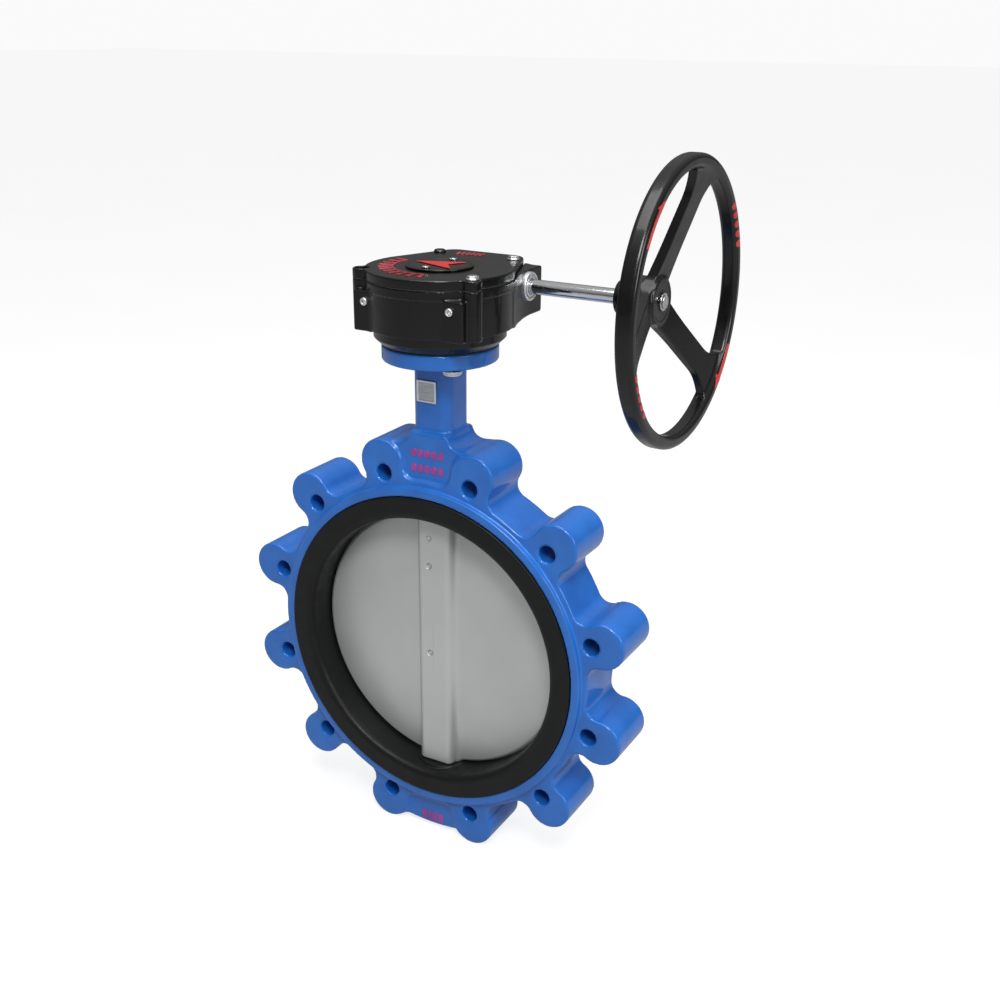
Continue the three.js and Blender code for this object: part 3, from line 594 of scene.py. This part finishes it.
def cover_field(x, y, z):
    low, high = COVER_LEVELS
    from_stem = np.hypot(x, y)
    plan = smin(case_plan(x, y), ear_plan(x, y), 4)
    lid = smax(plan, z - high, 2.2)
    lid = smax(lid, low - z, 0.8)
    lid = carve(lid, from_stem - 32.2, 0.8)
    worm_room = np.maximum(box2(x, y - 62, 40, 20, 3), z - 403)
    lid = carve(lid, worm_room, 0.8)
    for bolt_x, bolt_y, sunk in COVER_BOLTS:
        around = np.hypot(x - bolt_x, y - bolt_y)
        lid = carve(lid, around - 3.6, 0.5)
        if sunk:
            lid = carve(lid, np.maximum(around - 7.2, high - sunk - z), 1)
    return lid


# ---- handwheel --------------------------------------------------------------


def rim_field(x, from_shaft):
    """The flattened round section of the rim."""
    radial, axial, corner = RIM_SECTION
    return box2(from_shaft - WHEEL_RADIUS, x - WHEEL_PLANE, radial, axial, corner)


def wheel_field(x, y, z):
    across = y - WORM_Y
    up = z - WORM_Z
    from_shaft = np.hypot(across, up)
    hub = from_shaft - 17 - 6 * between(x, 168, 187)
    hub = smax(hub, slab(x, 168, 213), 2)
    hub = carve(hub, np.maximum(slab(from_shaft, 10.5, 19), 212.4 - x), 0.5)
    out, aside = folded(across, up, SPOKE_COUNT, math.radians(SPOKE_ANGLE))
    width = 14 + 4 * np.clip((60 - out) / 52, 0, 1) ** 2 + 0.0175 * np.clip(out - 96, 0, None) ** 2
    front = x - 206 - 0.27 * (out - 8)
    back = 195.5 + 0.285 * (out - 8) - x
    spoke = smax(smax(np.abs(aside) - width, front, 1.6), back, 1.6)
    spoke = smax(spoke, from_shaft - 128, 1)
    wheel = smin(smin(hub, spoke, 5), rim_field(x, from_shaft), 4)
    wheel = carve(wheel, from_shaft - 7.8, 0.8)
    wheel = carve(wheel, np.maximum(from_shaft - 8.2, 211.3 - x), 0.6)
    keyway = np.maximum(np.maximum(np.abs(across) - 2.8, x - 206), np.maximum(up - 10.3, -up))
    return carve(wheel, keyway, 0.4)


# ---- fasteners --------------------------------------------------------------


def hex_field(flats, flange, skirt, head):
    """A flanged hexagon head, standing on the plane z = 0 at the origin."""

    def field(x, y, z):
        around = np.hypot(x, y)
        out, _ = folded(x, y, 6, 0)
        chamfer = (around - flats * 0.53) * 0.5 + (z - head) * 0.87 + 0.35
        hexagon = smax(smax(out - flats / 2, chamfer, 0.4), z - head, 0.5)
        cone = smax(around - flange + 0.45 * np.maximum(z - skirt * 0.4, 0), z - skirt - 0.5, 0.5)
        return smax(smin(hexagon, cone, 0.6), -z, 0.3)

    return field


def bolt(name, slot, node, at, size, shank, up):
    """A flanged hexagon bolt at a seat, its head above the seat when up is 1 and below when it is -1."""
    flats, flange, skirt, head = size
    radius, length = shank
    head_field = hex_field(flats, flange, skirt, head)
    place = np.array(at, float)

    def field(x, y, z):
        local_z = (z - place[2]) * up
        around = np.hypot(x - place[0], y - place[1])
        rod = smax(around - radius, np.maximum(local_z - 1, -length - local_z), 0.4)
        return np.minimum(head_field(x - place[0], y - place[1], local_z), rod)

    ends = sorted((place[2] - up * length, place[2] + up * head))
    low = (place[0] - flange, place[1] - flange, ends[0])
    high = (place[0] + flange, place[1] + flange, ends[1])
    return put(cast(name, field, low, high, flats * 0.036), "valve", slot, node)


def slotted(name, node, body, slot, radius, height, seat, axis, groove, shank):
    """A screw with a domed, slotted head; seat is its place on the axis given."""
    turn = {"x": lambda x, y, z: (y, z, x), "z": lambda x, y, z: (x, y, z)}[axis]
    place = np.array(seat, float)
    shank_radius, shank_length = shank

    def field(x, y, z):
        u, v, w = turn(x - place[0], y - place[1], z - place[2])
        around = np.hypot(u, v)
        dome = smax(around - radius, w - height + 0.35 * (around / radius) ** 2 * height * 0.5, 0.7)
        dome = smax(dome, -w, 0.3)
        dome = carve(dome, smax(np.abs(u) - groove, height * 0.55 - w, 0.2), 0.3)
        rod = smax(around - shank_radius, np.maximum(w - 0.5, -shank_length - w), 0.4)
        return np.minimum(dome, rod)

    reach = {"x": (shank_length, radius, radius), "z": (radius, radius, shank_length)}[axis]
    ahead = {"x": (height, radius, radius), "z": (radius, radius, height)}[axis]
    thing = cast(name, field, place - reach, place + ahead, radius * 0.05)
    return put(thing, body, slot, node)


def stop_screw_field(x, y, z):
    around = np.hypot(np.abs(x) - STOP_X, z - STOP_Z)
    rod = smax(around - 4, slab(y, -63.6, -30.4), 1.2)
    across, _ = folded(np.abs(x) - STOP_X, z - STOP_Z, 6, 0)
    return carve(rod, smax(across - 2, y + 60.5, 0.3), 0.5)


# ---- marks: plain bars, ticks and arrows in place of lettering ---------------


def bars(x, y, places, half_height):
    """A row of round-ended bars, each given as (centre, half width)."""
    row = [box2(x - centre, y, half, half_height, min(half, half_height) * 0.8) for centre, half in places]
    return np.minimum.reduce(row)


ROW = ((-16, 3.1), (-8, 3.1), (0, 3.1), (8, 3.1), (16, 3.1))
SHORT_ROW = ((-10.5, 3), (-3.5, 1.6), (3.2, 3), (11, 3))


def body_marks_field(x, y, z):
    upper = np.minimum(bars(x, z - 221, ROW, 4.2), bars(x, z - 204.5, ROW, 4.2))
    lower = bars(x - 1, z + 215.5, SHORT_ROW, 6)
    return smax(np.minimum(upper, lower), slab(y, -28.3, -26.5), 0.6)


def turned(x, y, degrees):
    """Distances out along a direction from the origin and to its left."""
    cos, sin = math.cos(math.radians(degrees)), math.sin(math.radians(degrees))
    return x * cos + y * sin, y * cos - x * sin


def scale_field(x, y, z):
    """Graduations round the indicator: a fan on the left and a short group at the back."""
    plans = []
    for degrees in np.linspace(167, 283, 11):
        out, aside = turned(x, y, degrees)
        plans.append(box2(out - 54, aside, 7, 1 + 0.11 * np.clip(out - 46, 0, 14), 0.8))
    for degrees in (87, 91, 95, 99, 103, 107):
        out, aside = turned(x, y, degrees)
        plans.append(box2(out - 76, aside, 5.5, 1.5, 0.8))
    swing = np.abs(wrapped(np.arctan2(y, x) - math.radians(225)))
    arc = np.maximum(np.abs(np.hypot(x, y) - 46.5) - 1, (swing - math.radians(60)) * 46.5)
    plans.append(arc)
    return smax(np.minimum.reduce(plans), slab(z, 408, 409.9), 0.6)


ARROW = [(-26, -2.8), (11, -2.8), (11, -5.6), (27, 0), (11, 5.6), (11, 2.8), (-26, 2.8)]
MARK_RADIUS = 131
ARROW_ANGLES = (137.5, -39.5)
BAR_ANGLES = (28, -151)
RIM_ROW = ((-22.5, 3.8), (-11.2, 3.8), (0, 3.8), (11.2, 3.8), (22.5, 3.8))


def rim_marks_field(x, y, z):
    """Two arrows and two rows of bars, standing proud of the front of the rim."""
    across = y - WORM_Y
    up = z - WORM_Z
    from_shaft = np.hypot(across, up)
    angle = np.arctan2(up, across)
    plans = []
    for degrees in ARROW_ANGLES + BAR_ANGLES:
        along = MARK_RADIUS * wrapped(math.radians(degrees) - angle)
        if degrees in ARROW_ANGLES:
            plans.append(polygon(along, from_shaft - MARK_RADIUS, ARROW))
        else:
            plans.append(bars(along, from_shaft - 130.5, RIM_ROW, 3.4))
    skin = rim_field(x, from_shaft)
    shell = np.maximum(skin - 0.28, -0.6 - skin)
    return smax(smax(np.minimum.reduce(plans), shell, 0.4), WHEEL_PLANE - x, 0.4)


def pointer_field(x, y, z):
    shape = polygon(x, y, [(-27, 0), (20, 18), (10, 0), (24, -19)])
    return smax(shape, slab(z, 411.6, 412.4), 0.4)


def indicator_field(x, y, z):
    around = np.hypot(x, y)
    plate = smax(around - INDICATOR, slab(z, 409.3, 411.3), 0.9)
    plate = carve(plate, np.maximum(np.abs(around - 31) - 0.5, 411 - z), 0.2)
    return carve(plate, np.hypot(x, np.abs(y) - 25.5) - 2.7, 0.3)


def nameplate_field(x, y, z):
    sheet = smax(box2(x + 2.5, z - 286.15, 11.5, 11.45, 1), slab(y, -24.4, -22.8), 0.6)
    inner = smax(box2(x + 2.5, z - 286.15, 9.6, 9.55, 0.6), y + 23.5, 0.5)
    return carve(sheet, inner, 0.4)


def panel_field(x, y, z):
    """The matt panel inside the rim of the nameplate, with three plain grooves."""
    panel = smax(box2(x + 2.5, z - 286.15, 9.4, 9.35, 0.6), slab(y, -23.7, -23.4), 0.2)
    marks = [box2(x + 3.5, z - level, 6, 0.5, 0.4) for level in (281, 285, 289)]
    return carve(panel, np.maximum(np.minimum.reduce(marks), y + 23.55), 0.1)


# ---- assembly ---------------------------------------------------------------

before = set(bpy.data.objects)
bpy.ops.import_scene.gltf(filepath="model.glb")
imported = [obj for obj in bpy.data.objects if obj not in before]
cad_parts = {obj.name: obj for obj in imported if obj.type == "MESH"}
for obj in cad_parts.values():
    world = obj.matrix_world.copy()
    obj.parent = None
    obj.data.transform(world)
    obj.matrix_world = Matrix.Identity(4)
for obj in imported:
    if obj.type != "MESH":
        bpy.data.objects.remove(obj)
cad_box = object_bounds()

# Finishes of pieces that differ from the rest of their slot.
MAGENTA = paint("magenta_enamel", (140, 50, 128), (160, 62, 146), (176, 78, 160), (0.35, 0.5), 0.00003)
ZINC = metal("zinc_plate", (232, 234, 236), (246, 247, 248), (0.38, 0.48))
DIAL_RED = paint("dial_red", (116, 32, 38), (138, 44, 52), (168, 66, 74), (0.4, 0.55), 0.00003)

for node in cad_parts.values():
    node.data.materials.clear()

HIDDEN = {
    "steel": ("stem", "stem_retaining_ring", "stem_key", "worm", "worm_pin", "handwheel_key"),
    "bronze": ("upper_bush", "middle_bush", "lower_bush", "thrust_washer_1", "thrust_washer_2",
               "shaft_bush_1", "shaft_bush_2"),
    "epdm_rubber": ("stem_oring_1", "stem_oring_2", "shaft_seal", "hub_seal"),
    "gear_iron": ("worm_wheel",),
    "gasket_fibre": ("gearbox_gasket", "cover_gasket"),
}
for slot, names in HIDDEN.items():
    for name in names:
        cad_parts[name].data.materials.append(FINISHES[slot])

CASTINGS = (
    ("body_casting", body_field, (-231, -60, -231), (231, 60, 333), 2.35, "valve", "blue_epoxy",
     "valve_body"),
    ("rubber_seat", liner_field, (-176, -41, -176), (176, 41, 176), 1.7, "valve", "epdm_rubber",
     "seat_liner"),
    ("valve_disc", disc_field, (-150, -21, -148), (150, 21, 148), 1.5, "disc", "disc_metal", "disc"),
    ("gear_housing", housing_field, (-74, -76, 333), (76, 98, 403), 1.25, "valve", "black_paint",
     "gearbox_housing"),
    ("gear_cover", cover_field, (-76, -76, 399.5), (76, 98, 409.5), 1.0, "valve", "black_paint",
     "gearbox_cover"),
    ("hand_wheel", wheel_field, (160, -82, 244), (243, 202, 528), 1.15, "drive", "black_paint", "handwheel"),
)
for name, field, low, high, step, body, slot, node in CASTINGS:
    put(cast(name, field, low, high, step), body, slot, node)

for number, level in enumerate(PIN_LEVELS, 1):
    profile = [(0, -19.2, 0), (2.6, -19.2, 0.6), (2.6, 19.2, 0.6), (0, 19.2, 0)]
    pin = lathe(f"taper_pin_{number}", profile, "y", (PIN_X, 0, level), 32)
    put(pin, "disc", "steel", f"disc_pin_{number}")

for number, (x, y, sunk) in enumerate(COVER_BOLTS, 1):
    slot, head = ("steel", 3.8) if number < 3 else ("black_paint", 2.8)
    bolt(f"lid_bolt_{number}", slot, f"cover_bolt_{number}", (x, y, 409.3 - sunk), (10, 6.5, 1.2, head),
         (3.1, 18.3 - sunk), 1)
for number, side in enumerate((-1, 1), 1):
    seat = (side * MOUNT_BOLT, -side * MOUNT_BOLT, 316.7)
    bolt(f"flange_bolt_{number}", "steel", f"mount_bolt_{number}", seat, (16, 10.2, 1.6, 5), (4.9, 29.3), -1)
for number, side in enumerate((1, -1), 1):
    screw = cast(f"travel_stop_{number}", stop_screw_field, (side * STOP_X - 4.2, -64, STOP_Z - 4.2),
                 (side * STOP_X + 4.2, -30, STOP_Z + 4.2), 0.3)
    put(screw, "valve", "chrome_steel", f"stop_screw_{number}", finish=ZINC)

on_worm = (0, WORM_Y, WORM_Z)
shaft = lathe("drive_shaft", [(0, -58, 0), (7.5, -58, 1), (7.5, 211, 1), (0, 211, 0)], "x", on_worm, 96)
put(shaft, "drive", "chrome_steel", "input_shaft")
collar = [(8.1, 69, 0), (8.1, 66.3, 0.2), (14.5, 66.3, 0.4), (14.5, 71.5, 0.9), (12.5, 71.5, 0.4),
          (12.3, 67.6, 0.3), (10.4, 67.6, 0.3), (10.2, 71.5, 0.4), (8.1, 71.5, 0.3), (8.1, 69, 0)]
guard = lathe("shaft_guard_ring", collar, "x", on_worm, 96)
put(guard, "valve", "chrome_steel", "shaft_collar", finish=ZINC)
end_cap = [(0, -65.6, 0), (8.6, -65.6, 0.3), (9.2, -65, 0.3), (11, -65, 0.6), (11, -59.6, 0.3), (0, -59.6, 0)]
put(lathe("end_plug", end_cap, "x", on_worm, 64), "valve", "steel", "worm_end_cap")
washer = lathe("wheel_washer", ring_profile(4.3, 8.9, 213.3, 214.9, 0.5), "x", on_worm, 64)
put(washer, "drive", "chrome_steel", "handwheel_washer")
slotted("wheel_screw", "handwheel_screw", "drive", "steel", 6.4, 1.8, (215.2, WORM_Y, WORM_Z), "x", 0.9,
        (3.9, 25))

put(cast("dial_plate", indicator_field, (-34, -34, 409), (34, 34, 411.5), 0.6), "disc", "black_paint",
    "indicator_disc")
put(cast("dial_arrow", pointer_field, (-28, -20, 411.4), (25, 19, 412.6), 0.3), "disc", "red_enamel",
    "pointer_arrow")
for number, side in enumerate((1, -1), 1):
    slotted(f"dial_screw_{number}", f"indicator_screw_{number}", "disc", "chrome_steel", 4.2, 2.2,
            (0, side * 25.5, 411.6), "z", 0.5, (2.3, 11))
data_plate = cast("data_plate", nameplate_field, (-14, -24.5, 274.6), (9, -22.7, 297.7), 0.3)
put(data_plate, "valve", "plate_aluminium", "nameplate", finish=ZINC)
data_panel = cast("data_panel", panel_field, (-12, -23.8, 276.8), (7, -23.3, 295.6), 0.15)
put(data_panel, "valve", "plate_aluminium")

dial_scale = cast("dial_scale", scale_field, (-62, -62, 407.9), (18, 84, 410), 0.42)
put(dial_scale, "valve", "red_enamel", finish=DIAL_RED)
put(cast("wheel_marks", rim_marks_field, (236, -79, 250), (243, 199, 524), 0.6), "drive", "red_enamel")
body_marks = cast("body_marks", body_marks_field, (-20, -28.4, -222), (20, -26.4, 226), 0.5)
put(body_marks, "valve", "red_enamel", finish=MAGENTA)


# ---- floor, light and camera ------------------------------------------------

FLOOR_REACH = 30
FLOOR_GAP = 0.0005

floor_mesh = bpy.data.meshes.new("studio_floor")
level = cad_box[0][2] - FLOOR_GAP
corners = [(-FLOOR_REACH, -FLOOR_REACH), (FLOOR_REACH, -FLOOR_REACH), (FLOOR_REACH, FLOOR_REACH),
           (-FLOOR_REACH, FLOOR_REACH)]
floor_mesh.from_pydata([(x, y, level) for x, y in corners], [], [(0, 1, 2, 3)])
floor = bpy.data.objects.new("studio_floor", floor_mesh)
bpy.context.scene.collection.objects.link(floor)
ground = Finish("pale_floor", specular=0.1)
ground.colour(ground.noise(3, 3), [(0.3, (148, 148, 148)), (0.7, (152, 152, 152))])
ground.roughness(ground.noise(5), 0.8, 0.9)
glow = ground.tree.nodes.new("ShaderNodeMapRange")
glow.inputs["To Min"].default_value = 0.22
glow.inputs["To Max"].default_value = 0.8
rays = ground.tree.nodes.new("ShaderNodeLightPath")
ground.tree.links.new(rays.outputs["Is Camera Ray"], glow.inputs["Value"])
ground.tree.links.new(glow.outputs["Result"], ground.shader.inputs["Emission Strength"])
ground.shader.inputs["Emission Color"].default_value = (1, 1, 1, 1)
floor_mesh.materials.append(ground.material)

world = bpy.data.worlds.new("studio")
world.use_nodes = True
bpy.context.scene.world = world
sky = world.node_tree
direction = sky.nodes.new("ShaderNodeSeparateXYZ")
sky.links.new(sky.nodes.new("ShaderNodeTexCoord").outputs["Generated"], direction.inputs["Vector"])
height = sky.nodes.new("ShaderNodeMapRange")
for socket, value in (("From Min", 0.0), ("From Max", 0.8), ("To Min", 0.06), ("To Max", 0.5)):
    height.inputs[socket].default_value = value
sky.links.new(direction.outputs["Z"], height.inputs["Value"])
seen = sky.nodes.new("ShaderNodeMix")
floats = [socket for socket in seen.inputs if socket.type == "VALUE"]
floats[2].default_value = 0.96
sky.links.new(height.outputs["Result"], floats[1])
sky.links.new(sky.nodes.new("ShaderNodeLightPath").outputs["Is Camera Ray"], floats[0])
sky.nodes["Background"].inputs["Color"].default_value = (1, 1, 1, 1)
sky.links.new(seen.outputs[0], sky.nodes["Background"].inputs["Strength"])


def softbox(name, place, target, size, power):
    light = bpy.data.lights.new(name, "AREA")
    light.shape = "RECTANGLE"
    light.size, light.size_y = size
    light.energy = power
    lamp = bpy.data.objects.new(name, light)
    lamp.location = place
    lamp.rotation_euler = (Vector(target) - Vector(place)).to_track_quat("-Z", "Y").to_euler()
    bpy.context.scene.collection.objects.link(lamp)


softbox("key", (1.05, -1.7, 2.4), (0.05, 0, 0.1), (0.8, 0.8), 46)
softbox("side", (2.4, -0.4, 1.2), (0.1, 0, 0.1), (0.8, 1.2), 20)
softbox("top", (0, -0.3, 2.4), (0.05, 0, 0.1), (1.4, 1.4), 28)

CAMERA_AIM = Vector((0.07038, 0, 0.17574))
CAMERA_DISTANCE = 1.29206
CAMERA_LENS = 45.264
AZIMUTH, ELEVATION, ROLL = math.radians(29.25), math.radians(20.83), math.radians(0.46)
back = Vector((math.sin(AZIMUTH) * math.cos(ELEVATION), -math.cos(AZIMUTH) * math.cos(ELEVATION),
               math.sin(ELEVATION)))
level_right = Vector((math.cos(AZIMUTH), math.sin(AZIMUTH), 0))
level_up = back.cross(level_right)
right = level_right * math.cos(ROLL) + level_up * math.sin(ROLL)
up = level_up * math.cos(ROLL) - level_right * math.sin(ROLL)
lens = bpy.data.cameras.new("camera")
lens.lens = CAMERA_LENS
lens.sensor_width = 36
lens.clip_end = 100
camera = bpy.data.objects.new("camera", lens)
turn = Matrix((right, up, back)).transposed().to_4x4()
camera.matrix_world = Matrix.Translation(CAMERA_AIM + back * CAMERA_DISTANCE) @ turn
bpy.context.scene.collection.objects.link(camera)
bpy.context.scene.camera = camera
bpy.context.scene.view_settings.view_transform = "Standard"
